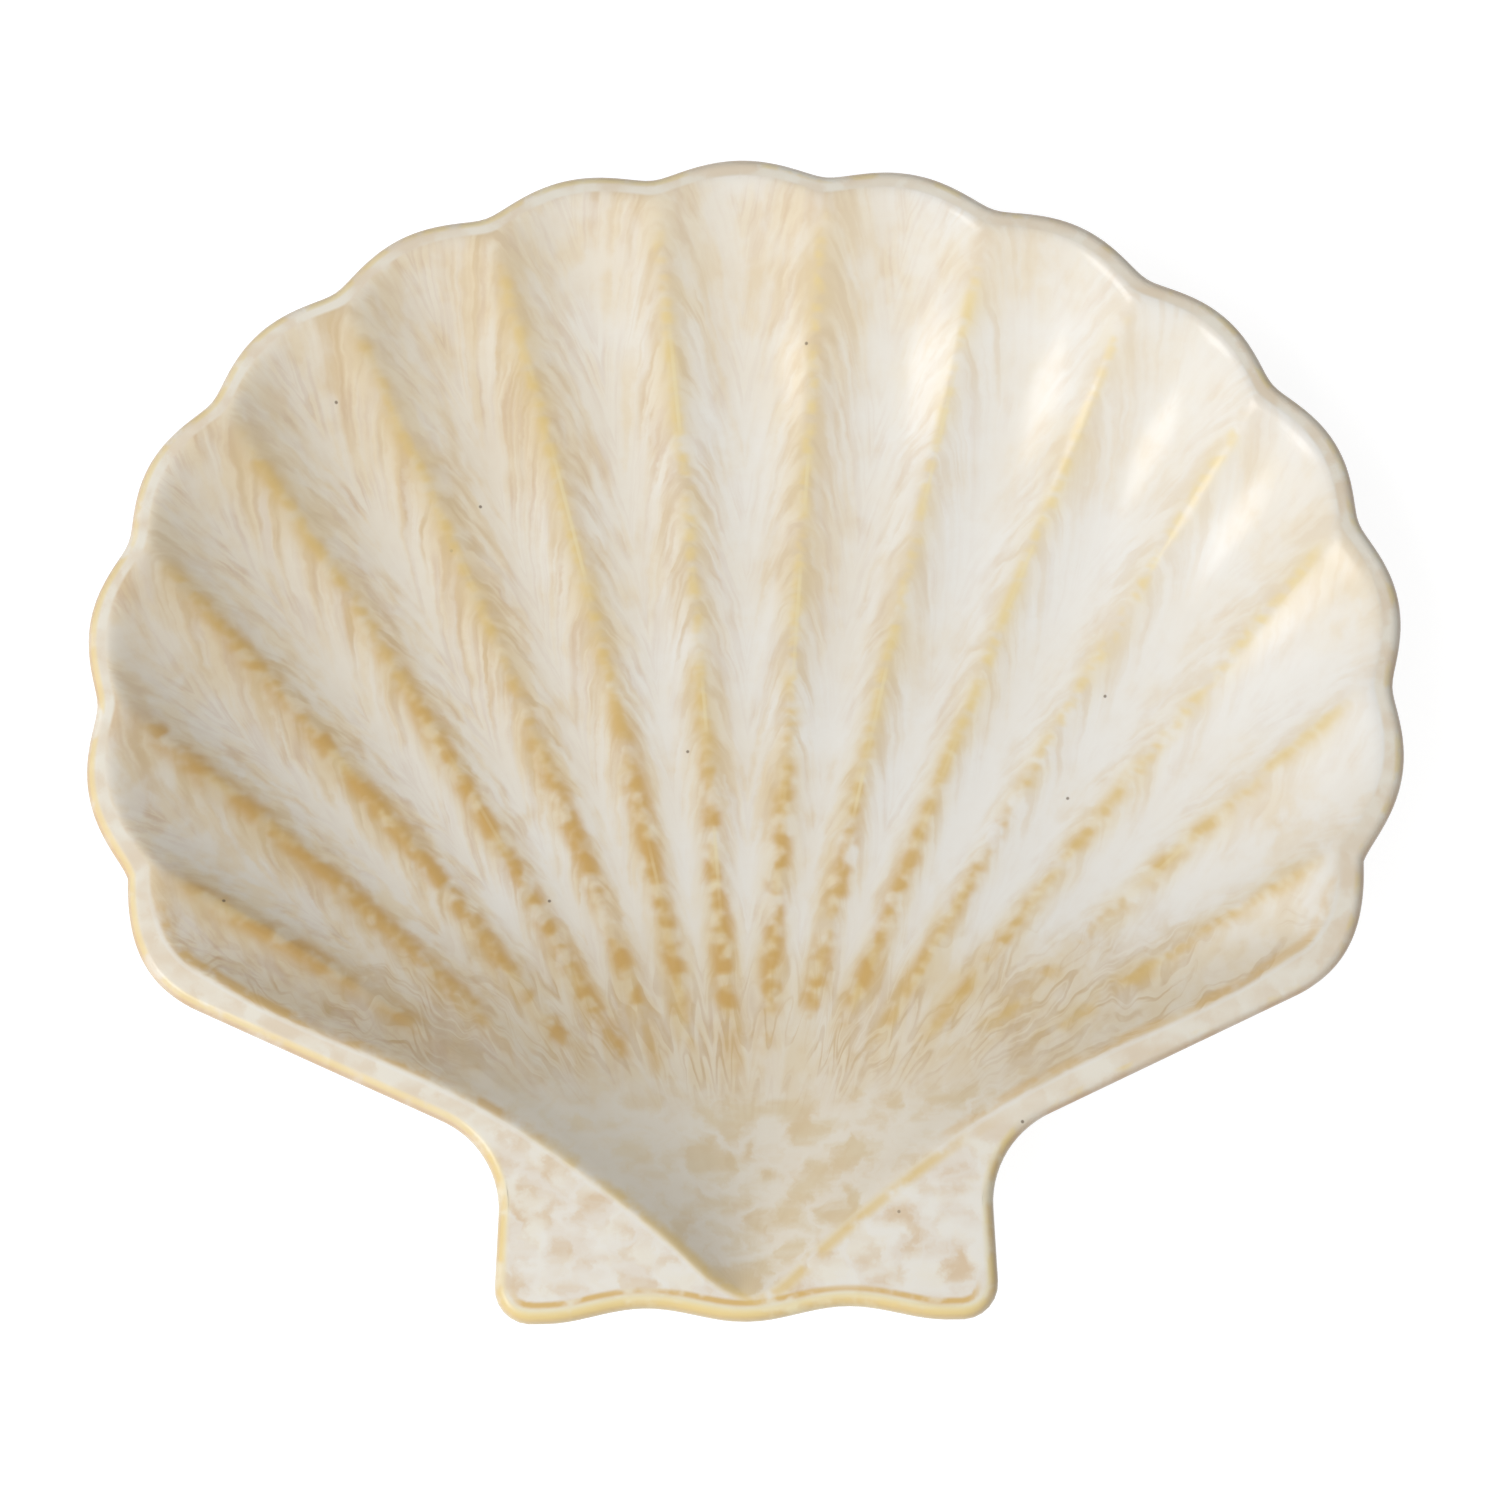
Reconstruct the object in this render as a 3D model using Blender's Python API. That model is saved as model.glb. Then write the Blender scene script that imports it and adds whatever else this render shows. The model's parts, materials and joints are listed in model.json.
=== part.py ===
"""Shell shaped platter: one fired, glazed dish, its rim up and its hinge towards -Y. Sizes in metres."""

from math import pi, radians

import bpy
import numpy as np
from mathutils.bvhtree import BVHTree

# The fan: its notches lie on a superellipse, and its ribs spread from the apex of the hinge.
FAN_HALF_WIDTH = 0.1640
FAN_HALF_DEPTH = 0.1390
FAN_POWER = 2.05
APEX_TO_FAN_CENTRE = 0.1552
RIBS_PER_SIDE = 7
RIB_SPREAD = radians(8.80)
RIB_SPREAD_LOSS = radians(0.052)
RIB_GATHER = 0.12
LOBE_BULGE = 0.0039
NOTCH_ROUNDING = 0.25

# The rim, the shoulders and the hinge
LIP_WIDTH = 0.0050
CORNER_LIP_WIDTH = 0.0080
CORNER_ARC_RADIUS = 0.0330
CORNER_ARC_CENTRE = (0.1233, 0.1045)
CORNER_BEARING = radians(58.5)
SHOULDER_SLOPE = 0.470
NECK_ARC_RADIUS = 0.0250
WAIST_HALF_WIDTH = 0.0612
EAR_HALF_WIDTH = 0.0621
EAR_CORNER_RADIUS = 0.0090
HINGE_OVERHANG = 0.0057
HINGE_WAVE_HEIGHT = 0.0036
HINGE_WAVE_LENGTH = 0.0500
HINGE_BEARING = radians(52.5)
CREST_BEND_START = 0.050
CREST_BEND_END = 0.150
APEX_REACH = 0.0100

# The bowl
RIM_HEIGHT = 0.0460
WALL = 0.0055
BOWL_DEPTH = 0.0400
WALL_REACH = 0.0400
FAN_WALL_REACH = 0.0500
FLUTE_DEPTH = 0.0018
FLUTE_START = 0.16
FLUTE_FULL = 0.95
RIB_ROUNDING = 0.16
UNDER_RIB_ROUNDING = 0.45

# The foot ring
FOOT_HALF_WIDTH = 0.0700
FOOT_HALF_DEPTH = 0.0550
FOOT_CENTRE_FROM_APEX = 0.1520
FOOT_RING_WIDTH = 0.0060
FOOT_CHAMFER = 0.0012

# Resolution
STEPS_PER_LOBE = 8
ROW_SHARES = (0.045, 0.09, 0.15, 0.22, 0.30, 0.38, 0.46, 0.54, 0.62, 0.70, 0.78, 0.85, 0.91, 0.96, 1.0)
FOOT_STEPS = 72

LAST_RIB = RIBS_PER_SIDE - 0.5
LAST_COLUMN = RIBS_PER_SIDE + 0.5


def clear_scene():
    for obj in list(bpy.data.objects):
        bpy.data.objects.remove(obj, do_unlink=True)


def smooth_step(value, start, end):
    share = np.clip((value - start) / (end - start), 0.0, 1.0)
    return share * share * (3.0 - 2.0 * share)


def bezier(a, b, c, d, share):
    """Points of a cubic curve from a to d, with handles b and c."""
    t = np.asarray(share)[..., None]
    a, b, c, d = (np.asarray(p, float) for p in (a, b, c, d))
    return (1 - t) ** 3 * a + 3 * (1 - t) ** 2 * t * b + 3 * (1 - t) * t**2 * c + t**3 * d


def arc(centre, radius, start, end, count):
    """Points of a circular arc, its angles measured from +X."""
    turn = np.linspace(start, end, count)
    return np.stack([centre[0] + radius * np.cos(turn), centre[1] + radius * np.sin(turn)], axis=-1)


def polar(reach, bearing):
    """A point at a distance from the apex and a bearing measured from +Y."""
    return np.stack([reach * np.sin(bearing), reach * np.cos(bearing)], axis=-1)


# Plan of the fan. A column u runs from -7.5 to 7.5: whole numbers are lobe centres and halves are ribs.


def lobe_profile(u, rounding):
    """1 at the middle of a lobe and 0 at a rib, where it turns through a small radius."""
    wave = np.cos(pi * (u - np.round(u)))
    return (np.sqrt(wave**2 + rounding**2) - rounding) / (np.sqrt(1 + rounding**2) - rounding)


def fan_point(u):
    """Where column u, up to the last rib, meets the superellipse of the notches, and its normal there."""
    bearing = RIB_SPREAD * u - RIB_SPREAD_LOSS * u**2
    low = APEX_TO_FAN_CENTRE * np.cos(bearing)
    high = low + 2 * FAN_HALF_WIDTH
    for _ in range(50):
        middle = (low + high) / 2
        x, y = middle * np.sin(bearing), middle * np.cos(bearing) - APEX_TO_FAN_CENTRE
        level = np.abs(x / FAN_HALF_WIDTH) ** FAN_POWER + np.abs(y / FAN_HALF_DEPTH) ** FAN_POWER
        low = np.where(level < 1, middle, low)
        high = np.where(level < 1, high, middle)
    x, y = low * np.sin(bearing), low * np.cos(bearing) - APEX_TO_FAN_CENTRE
    normal = np.stack(
        [
            np.sign(x) * np.abs(x / FAN_HALF_WIDTH) ** (FAN_POWER - 1) / FAN_HALF_WIDTH,
            np.sign(y) * np.abs(y / FAN_HALF_DEPTH) ** (FAN_POWER - 1) / FAN_HALF_DEPTH,
        ],
        axis=-1,
    )
    normal /= np.linalg.norm(normal, axis=-1, keepdims=True)
    return np.stack([x, y + APEX_TO_FAN_CENTRE], axis=-1), normal


def corner_direction():
    """From the centre of the corner arc towards the corner of the crest."""
    corner = CORNER_ARC_RADIUS - CORNER_LIP_WIDTH
    centre = np.array(CORNER_ARC_CENTRE)
    facing = centre @ polar(1.0, CORNER_BEARING)
    across = np.sqrt(corner**2 - centre @ centre + facing**2)
    end = polar(facing + across, CORNER_BEARING)
    return (end - centre) / corner, end


def rim_plan(u, on_crest):
    """The rim without its lobes, along the outer edge or along the crest, and its outward normal.

    Beyond the last rib one long lobe leaves the notch straight down and meets the corner arc.
    """
    inner = np.minimum(u, LAST_RIB)
    point, normal = fan_point(inner)
    widening = smooth_step(u, LAST_RIB - 1.0, LAST_COLUMN)[..., None]
    inset = LIP_WIDTH + (CORNER_LIP_WIDTH - LIP_WIDTH) * widening if on_crest else 0.0
    point = point - normal * inset
    last, last_normal = fan_point(np.array(LAST_RIB))
    down = np.array([0.0, -1.0])
    facing, corner = corner_direction()
    if on_crest:
        last = last - last_normal * (LIP_WIDTH + CORNER_LIP_WIDTH) / 2
    else:
        corner = np.array(CORNER_ARC_CENTRE) + facing * CORNER_ARC_RADIUS
    reach = np.linalg.norm(last - corner) * 0.36
    back = np.array([-facing[1], facing[0]])
    lobe = bezier(last, last + down * reach, corner + back * reach, corner, np.clip(u - LAST_RIB, 0, 1))
    beyond = (u > LAST_RIB)[..., None]
    return np.where(beyond, lobe, point), normal


def crest_bearing(reach):
    """Bearing of the crest along the hinge and the shoulder, at a distance from the apex."""
    bend = smooth_step(reach, CREST_BEND_START, CREST_BEND_END)
    tip = (pi / 2 - HINGE_BEARING) * np.exp(-((reach / APEX_REACH) ** 1.2))
    return HINGE_BEARING + (CORNER_BEARING - HINGE_BEARING) * bend + tip


# The bowl's surfaces, over a column u and a row v, which is 0 at the apex and 1 at the rim.


def rib_gather(v):
    """How far the ribs have drawn together, as a share of their bearings at the rim."""
    return 1.0 - RIB_GATHER * (1.0 - v**2)


def bowl_base(u, v):
    """The bowl without its flutes, the rim's outward direction, and distances to the crest."""
    side = np.abs(u)
    end, normal = rim_plan(side, True)
    reach = np.linalg.norm(end, axis=-1)
    end_bearing = np.arctan2(end[..., 0], end[..., 1])
    corner_reach = np.linalg.norm(corner_direction()[1])
    gather = rib_gather(v)
    r = v * reach
    edge = crest_bearing(np.minimum(r, corner_reach))
    beyond = np.clip(side - LAST_RIB, 0.0, 1.0)
    bearing = end_bearing * gather + (edge - CORNER_BEARING * gather) * beyond
    plan = polar(r, bearing)
    facing = np.sum(normal * end, axis=-1) / reach
    to_fan = (1.0 - v) * reach * facing
    to_side = r * np.sin(np.clip(edge - bearing, 0.0, pi / 2))
    to_far_side = r * np.sin(np.clip(edge + bearing, 0.0, pi / 2))
    tiny = 1e-9
    crowding = (to_side + tiny) ** -3 + (to_far_side + tiny) ** -3
    crowding += (to_fan * WALL_REACH / FAN_WALL_REACH + tiny) ** -3
    z = -BOWL_DEPTH * (1.0 - np.exp(-(crowding ** (-1 / 3)) / WALL_REACH))
    turn = np.where(u < 0, -1.0, 1.0)
    points = np.stack([plan[..., 0] * turn, plan[..., 1], z], axis=-1)
    outward = np.stack([normal[..., 0] * turn, normal[..., 1], 0 * z], axis=-1)
    return points, outward, to_fan, to_side


def fluted(points, outward, to_fan, to_side, u, v, rounding):
    """Moves the channels between the ribs outwards at the rim and down on the floor."""
    profile = lobe_profile(u, rounding)
    at_rim = np.where(np.abs(u) > LAST_RIB, 0.0, v**4)
    growth = smooth_step(v, FLUTE_START, FLUTE_FULL)
    near_crest = (1 - np.exp(-to_fan / 0.008)) * (1 - np.exp(-to_side / 0.012))
    moved = points + outward * (LOBE_BULGE * profile * at_rim)[..., None]
    moved[..., 2] -= FLUTE_DEPTH * profile * growth * near_crest
    return moved


def inner_surface(u, v):
    base = bowl_base(u, v)
    return fluted(*base, u, v, RIB_ROUNDING)


def under_surface(u, v):
    """The unfluted inner surface moved out by the wall, then fluted, its edge slid under the crest."""
    inset = WALL / 3
    side = np.abs(u)
    reach = np.linalg.norm(rim_plan(side, True)[0], axis=-1)
    last_bearing = np.arctan2(*rim_plan(np.array(LAST_RIB), True)[0]) * rib_gather(v)
    end_lobe = v * reach * (crest_bearing(v * reach) - last_bearing)
    beyond = np.clip(side - LAST_RIB, 0.0, 1.0)
    u = np.sign(u) * (side - beyond * np.minimum(0.5, inset / np.maximum(end_lobe, 1e-6)))
    v = v * (1.0 - 1.6 * inset / reach)
    points, outward, to_fan, to_side = bowl_base(u, v)
    step = 1e-3
    along = bowl_base(u, np.minimum(v + step, 1.0))[0] - bowl_base(u, v - step)[0]
    right, left = np.minimum(u + step, LAST_COLUMN), np.maximum(u - step, -LAST_COLUMN)
    across = bowl_base(right, v)[0] - bowl_base(left, v)[0]
    normal = np.cross(across, along)
    normal /= np.linalg.norm(normal, axis=-1, keepdims=True)
    moved = points - normal * WALL
    return fluted(moved, outward, to_fan, to_side, u, v, UNDER_RIB_ROUNDING)


# Outer edge


def hinge_edge():
    """Half of the outer edge in plan, from the middle of the hinge out to the corner of the fan."""
    wave_x = np.linspace(0.0, HINGE_WAVE_LENGTH, 13)
    wave = HINGE_WAVE_HEIGHT / 2 * (1 - np.cos(2 * pi * wave_x / HINGE_WAVE_LENGTH))
    bottom = np.stack([wave_x, -HINGE_OVERHANG + wave], axis=-1)
    ear_centre = (EAR_HALF_WIDTH - EAR_CORNER_RADIUS, -HINGE_OVERHANG + EAR_CORNER_RADIUS)
    ear = arc(ear_centre, EAR_CORNER_RADIUS, -pi / 2, 0.0, 6)
    slope = np.arctan(SHOULDER_SLOPE)
    normal = np.array([np.sin(slope), -np.cos(slope)])
    shoulder = np.array(CORNER_ARC_CENTRE) + normal * CORNER_ARC_RADIUS
    centre_x = WAIST_HALF_WIDTH + NECK_ARC_RADIUS
    rise = (centre_x - shoulder[0]) * SHOULDER_SLOPE
    centre_y = shoulder[1] + rise - NECK_ARC_RADIUS / np.cos(slope)
    neck = arc((centre_x, centre_y), NECK_ARC_RADIUS, pi, pi / 2 + slope, 8)
    middle = neck[-1] + np.linspace(0, 1, 6)[1:-1, None] * (shoulder - neck[-1])
    facing = corner_direction()[0]
    corner = arc(CORNER_ARC_CENTRE, CORNER_ARC_RADIUS, slope - pi / 2, np.arctan2(facing[1], facing[0]), 4)
    return np.concatenate([bottom[:-1], ear, neck, middle, corner[:-1]])


def outer_edge():
    """The whole outer edge in plan, anticlockwise seen from above, starting at the middle of the hinge."""
    columns = np.linspace(LAST_COLUMN, -LAST_COLUMN, (2 * RIBS_PER_SIDE + 1) * STEPS_PER_LOBE + 1)
    point, normal = rim_plan(np.abs(columns), False)
    in_fan = np.where(np.abs(columns) > LAST_RIB, 0.0, lobe_profile(columns, NOTCH_ROUNDING))
    point = point + normal * (LOBE_BULGE * in_fan)[..., None]
    fan = np.stack([point[:, 0] * np.sign(columns + 1e-12), point[:, 1]], axis=-1)
    right = hinge_edge()
    left = right[1:][::-1] * (-1, 1)
    return np.concatenate([right, fan, left])


def inset_edge(edge, distance, z):
    """The outer edge moved in by a distance, at a height below the crest."""
    tangent = np.roll(edge, -1, axis=0) - np.roll(edge, 1, axis=0)
    normal = np.stack([tangent[:, 1], -tangent[:, 0]], axis=-1)
    normal /= np.linalg.norm(normal, axis=1, keepdims=True)
    moved = edge - normal * distance
    return np.column_stack([moved, np.full(len(moved), z)])


# Mesh building


class Shell:
    """Collects vertices and faces."""

    def __init__(self):
        self.points, self.faces = [], []

    def add(self, points):
        start = sum(len(p) for p in self.points)
        self.points.append(np.asarray(points, float).reshape(-1, 3))
        return list(range(start, start + len(self.points[-1])))

    def bridge(self, a, b, flip=False):
        """Quads between chains of as many vertices, or else triangles across each shorter diagonal."""
        if len(a) == len(b):
            quads = zip(a, a[1:], b[1:], b)
            self.faces += [quad[::-1] if flip else quad for quad in quads]
            return
        at = np.concatenate(self.points)
        i = j = 0
        while i < len(a) - 1 or j < len(b) - 1:
            to_a = np.linalg.norm(at[a[i + 1]] - at[b[j]]) if i < len(a) - 1 else np.inf
            to_b = np.linalg.norm(at[a[i]] - at[b[j + 1]]) if j < len(b) - 1 else np.inf
            face = (a[i], a[i + 1], b[j]) if to_a <= to_b else (a[i], b[j + 1], b[j])
            self.faces.append(face[::-1] if flip else face)
            i, j = (i + 1, j) if to_a <= to_b else (i, j + 1)


def patch_rows(shell, surface, apex):
    """Rows of a bowl surface from the apex to the rim, with fewer columns where the ribs have run out."""
    rows = [shell.add([apex])]
    for v in ROW_SHARES:
        steps = STEPS_PER_LOBE if v > FLUTE_START else max(1, STEPS_PER_LOBE // 4)
        count = (2 * RIBS_PER_SIDE + 1) * steps + 1
        u = np.linspace(-LAST_COLUMN, LAST_COLUMN, count)
        rows.append(shell.add(surface(u, np.full(count, v))))
    return rows


def patch_edge(rows):
    """The boundary of a patch, from the apex up one side, along the rim and back down to the apex."""
    right = [row[-1] for row in rows[:-1]]
    left = [row[0] for row in rows[1:-1]][::-1]
    return right + rows[-1][::-1] + left + [rows[0][0]]


def build_dish():
    shell = Shell()
    inner = patch_rows(shell, inner_surface, (0.0, 0.0, 0.0))
    under = patch_rows(shell, under_surface, (0.0, -WALL / 3, -WALL))
    for low, high in zip(inner, inner[1:]):
        shell.bridge(high, low)
    for low, high in zip(under, under[1:]):
        shell.bridge(high, low, flip=True)
    edge = outer_edge()
    rings = [(0.40, 0.05), (0.14, 0.22), (0.0, 0.50), (0.12, 0.80), (0.34, 1.0)]
    chains = [patch_edge(inner)]
    for inset, drop in rings:
        ring = shell.add(inset_edge(edge, inset * LIP_WIDTH, -drop * WALL))
        chains.append(ring + ring[:1])
    chains.append(patch_edge(under))
    for upper, lower in zip(chains, chains[1:]):
        shell.bridge(upper, lower)
    points = np.concatenate(shell.points)
    points[:, 2] += RIM_HEIGHT
    return points, shell.faces


def build_foot(dish_points, dish_faces):
    """An oval ring that stands on z = 0 and runs up into the wall of the dish."""
    tree = BVHTree.FromPolygons([tuple(p) for p in dish_points], dish_faces)
    half = FOOT_RING_WIDTH / 2
    section = [(half, None), (-half, None), (-half, FOOT_CHAMFER), (FOOT_CHAMFER - half, 0.0)]
    section += [(half - FOOT_CHAMFER, 0.0), (half, FOOT_CHAMFER)]
    points, faces = [], []
    for turn in np.linspace(0, 2 * pi, FOOT_STEPS, endpoint=False):
        for offset, z in section:
            x = (FOOT_HALF_WIDTH + offset) * np.cos(turn)
            y = FOOT_CENTRE_FROM_APEX + (FOOT_HALF_DEPTH + offset) * np.sin(turn)
            if z is None:
                z = tree.ray_cast((x, y, -RIM_HEIGHT), (0, 0, 1))[0].z + WALL / 2
            points.append((x, y, z))
    size = len(section)
    for i in range(FOOT_STEPS):
        a, b = i * size, (i + 1) % FOOT_STEPS * size
        for j in range(size):
            k = (j + 1) % size
            faces.append((a + j, a + k, b + k, b + j))
    return points, faces


def add_object(name, points, faces, material):
    mesh = bpy.data.meshes.new(name)
    mesh.from_pydata([tuple(map(float, p)) for p in points], [], faces)
    mesh.validate()
    mesh.materials.append(material)
    mesh.shade_smooth()
    mesh.set_sharp_from_angle(angle=radians(32))
    obj = bpy.data.objects.new(name, mesh)
    bpy.context.scene.collection.objects.link(obj)
    return obj


def glazed_stoneware():
    material = bpy.data.materials.new("glazed stoneware")
    material.use_nodes = True
    shader = material.node_tree.nodes["Principled BSDF"]
    shader.inputs["Base Color"].default_value = (0.80, 0.71, 0.57, 1.0)
    shader.inputs["Roughness"].default_value = 0.15
    shader.inputs["Metallic"].default_value = 0.0
    return material


def main():
    clear_scene()
    material = glazed_stoneware()
    points, faces = build_dish()
    foot_points, foot_faces = build_foot(points, faces)
    middle = (points[:, 1].max() + points[:, 1].min()) / 2
    dish = add_object("platter", points - (0, middle, 0), faces, material)
    foot = add_object("foot_ring", np.array(foot_points) - (0, middle, 0), foot_faces, material)
    foot.hide_render = True
    foot.display_type = "WIRE"
    union = dish.modifiers.new("foot", "BOOLEAN")
    union.operation = "UNION"
    union.solver = "EXACT"
    union.object = foot


main()
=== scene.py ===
"""The dressed shell platter: a fine mesh of the glazed body, its reactive glaze, soft light and the camera.

Lengths are in metres in the frame of the part: +Z up, the hinge towards -Y, the origin under the foot.
"""

import json
from math import cos, pi, radians, sin
from types import SimpleNamespace

import bpy
import numpy as np
from mathutils import Matrix, Vector
from mathutils.bvhtree import BVHTree

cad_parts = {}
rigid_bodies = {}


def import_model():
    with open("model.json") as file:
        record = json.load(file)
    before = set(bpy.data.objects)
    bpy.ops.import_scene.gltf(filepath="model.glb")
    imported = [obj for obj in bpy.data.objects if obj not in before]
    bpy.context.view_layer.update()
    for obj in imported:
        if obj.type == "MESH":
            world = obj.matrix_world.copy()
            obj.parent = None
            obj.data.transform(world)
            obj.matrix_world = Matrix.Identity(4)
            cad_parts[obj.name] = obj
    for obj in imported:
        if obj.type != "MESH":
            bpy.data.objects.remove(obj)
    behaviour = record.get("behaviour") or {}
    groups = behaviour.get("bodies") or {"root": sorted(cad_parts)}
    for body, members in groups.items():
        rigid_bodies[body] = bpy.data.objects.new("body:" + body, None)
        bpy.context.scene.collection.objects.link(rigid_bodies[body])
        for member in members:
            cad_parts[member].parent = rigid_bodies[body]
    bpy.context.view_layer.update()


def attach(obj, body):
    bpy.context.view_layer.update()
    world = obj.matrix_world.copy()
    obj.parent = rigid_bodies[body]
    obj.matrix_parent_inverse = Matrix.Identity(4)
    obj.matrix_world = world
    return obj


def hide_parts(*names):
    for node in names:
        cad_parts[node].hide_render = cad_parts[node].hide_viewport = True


# The fan: its notches lie on a superellipse, and its ribs spread from the apex of the hinge.
FAN_HALF_WIDTH = 0.1640
FAN_HALF_DEPTH = 0.1390
FAN_POWER = 2.05
APEX_TO_FAN_CENTRE = 0.1552
RIBS_PER_SIDE = 7
RIB_SPREAD = radians(8.80)
RIB_SPREAD_LOSS = radians(0.052)
RIB_GATHER = 0.12
LOBE_BULGE = 0.0039
NOTCH_ROUNDING = 0.25

# The rim, the shoulders and the hinge
LIP_WIDTH = 0.0050
CORNER_LIP_WIDTH = 0.0080
CORNER_ARC_RADIUS = 0.0330
CORNER_ARC_CENTRE = (0.1233, 0.1045)
CORNER_BEARING = radians(58.5)
SHOULDER_SLOPE = 0.470
NECK_ARC_RADIUS = 0.0250
WAIST_HALF_WIDTH = 0.0612
EAR_HALF_WIDTH = 0.0621
EAR_CORNER_RADIUS = 0.0090
HINGE_OVERHANG = 0.0057
HINGE_WAVE_HEIGHT = 0.0036
HINGE_WAVE_LENGTH = 0.0500
HINGE_BEARING = radians(52.5)
CREST_BEND_START = 0.050
CREST_BEND_END = 0.150
APEX_REACH = 0.0100

# The bowl, with a crest rounded by the glaze
RIM_HEIGHT = 0.0460
WALL = 0.0055
BOWL_DEPTH = 0.0400
WALL_REACH = 0.0400
FAN_WALL_REACH = 0.0500
CREST_ROUNDING = 0.0022
EDGE_ROUNDING = 0.0027
UNDER_EDGE_ROUNDING = 0.0018
FLUTE_DEPTH = 0.0018
FLUTE_START = 0.16
FLUTE_FULL = 0.95
FLUTE_NARROWING = 2.0
FLUTE_FADE_AT_RIM = 0.0080
FLUTE_FADE_AT_SIDE = 0.0120
RIB_ROUNDING = 0.16
UNDER_RIB_ROUNDING = 0.45

# The foot ring
FOOT_HALF_WIDTH = 0.0700
FOOT_HALF_DEPTH = 0.0550
FOOT_CENTRE_FROM_APEX = 0.1520
FOOT_RING_WIDTH = 0.0060
FOOT_CHAMFER = 0.0012

# Resolution of the mesh
STEPS_PER_LOBE = 24
ROWS = 96
ROW_CROWDING = 1.25
END_CROWDING = 1.7
HALVED_BELOW = 0.20
QUARTERED_BELOW = 0.09
LIP_TOP_ROWS = 8
LIP_RINGS = 7
FOOT_STEPS = 160

# The light and the pale floor
KEY_PLACE = (-1.10, -0.39, 1.17)
KEY_SIZE = (1.7, 1.9)
KEY_POWER = 23.0
GLINT_PLACE = (-0.93, -0.34, 1.42)
GLINT_SIZE = (0.50, 0.55)
GLINT_POWER = 3.1
FRONT_PLACE = (0.1, -1.6, 1.2)
FRONT_SIZE = (1.4, 1.4)
FRONT_POWER = 8.0
WORLD_LEVEL = 0.27
FLOOR_HALF_SIZE = 6.0
FLOOR_TONE = 0.40
FLOOR_GLOW = 0.86

# The dark specks: at most one in each square of a grid, in millimetres
SPECK_SPACING = 24.0
SPECK_RADIUS = 0.55

LAST_RIB = RIBS_PER_SIDE - 0.5
LAST_COLUMN = RIBS_PER_SIDE + 0.5
LOBES = 2 * RIBS_PER_SIDE + 1
MIDDLE = (APEX_TO_FAN_CENTRE + FAN_HALF_DEPTH + LOBE_BULGE - HINGE_OVERHANG) / 2

# The camera, as fitted to the outline: almost straight above, looking from the hinge side
CAMERA_TILT = radians(14.99)
CAMERA_SWAY = radians(1.84)
CAMERA_ROLL = radians(0.35)
CAMERA_DISTANCE = 1.5
PIXELS_PER_MM = 3.9253
IMAGE_SIDE = 1500
TARGET_PIXEL = (744.6, 738.8)
TARGET_BELOW_RIM = 0.015


def smooth_step(value, start, end):
    share = np.clip((value - start) / (end - start), 0.0, 1.0)
    return share * share * (3.0 - 2.0 * share)


def bezier(a, b, c, d, share):
    """Points of a cubic curve from a to d, with handles b and c."""
    t = np.asarray(share)[..., None]
    a, b, c, d = (np.asarray(p, float) for p in (a, b, c, d))
    return (1 - t) ** 3 * a + 3 * (1 - t) ** 2 * t * b + 3 * (1 - t) * t**2 * c + t**3 * d


def arc(centre, radius, start, end, count):
    """Points of a circular arc, its angles measured from +X."""
    turn = np.linspace(start, end, count)
    return np.stack([centre[0] + radius * np.cos(turn), centre[1] + radius * np.sin(turn)], axis=-1)


def polar(reach, bearing):
    """A point at a distance from the apex and a bearing measured from +Y."""
    return np.stack([reach * np.sin(bearing), reach * np.cos(bearing)], axis=-1)


# Plan of the fan. A column u runs from -7.5 to 7.5: whole numbers are lobe centres and halves are ribs.


def lobe_profile(u, rounding):
    """1 at the middle of a lobe and 0 at a rib, where it turns through a small radius."""
    wave = np.cos(pi * (u - np.round(u)))
    return (np.sqrt(wave**2 + rounding**2) - rounding) / (np.sqrt(1 + rounding**2) - rounding)


def fan_point(u):
    """Where column u, up to the last rib, meets the superellipse of the notches, and its normal there."""
    bearing = RIB_SPREAD * u - RIB_SPREAD_LOSS * u**2
    low = APEX_TO_FAN_CENTRE * np.cos(bearing)
    high = low + 2 * FAN_HALF_WIDTH
    for _ in range(50):
        middle = (low + high) / 2
        x, y = middle * np.sin(bearing), middle * np.cos(bearing) - APEX_TO_FAN_CENTRE
        level = np.abs(x / FAN_HALF_WIDTH) ** FAN_POWER + np.abs(y / FAN_HALF_DEPTH) ** FAN_POWER
        low = np.where(level < 1, middle, low)
        high = np.where(level < 1, high, middle)
    x, y = low * np.sin(bearing), low * np.cos(bearing) - APEX_TO_FAN_CENTRE
    normal = np.stack(
        [
            np.sign(x) * np.abs(x / FAN_HALF_WIDTH) ** (FAN_POWER - 1) / FAN_HALF_WIDTH,
            np.sign(y) * np.abs(y / FAN_HALF_DEPTH) ** (FAN_POWER - 1) / FAN_HALF_DEPTH,
        ],
        axis=-1,
    )
    normal /= np.linalg.norm(normal, axis=-1, keepdims=True)
    return np.stack([x, y + APEX_TO_FAN_CENTRE], axis=-1), normal


def corner_direction():
    """From the centre of the corner arc towards the corner of the crest."""
    corner = CORNER_ARC_RADIUS - CORNER_LIP_WIDTH
    centre = np.array(CORNER_ARC_CENTRE)
    facing = centre @ polar(1.0, CORNER_BEARING)
    across = np.sqrt(corner**2 - centre @ centre + facing**2)
    end = polar(facing + across, CORNER_BEARING)
    return (end - centre) / corner, end


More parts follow.
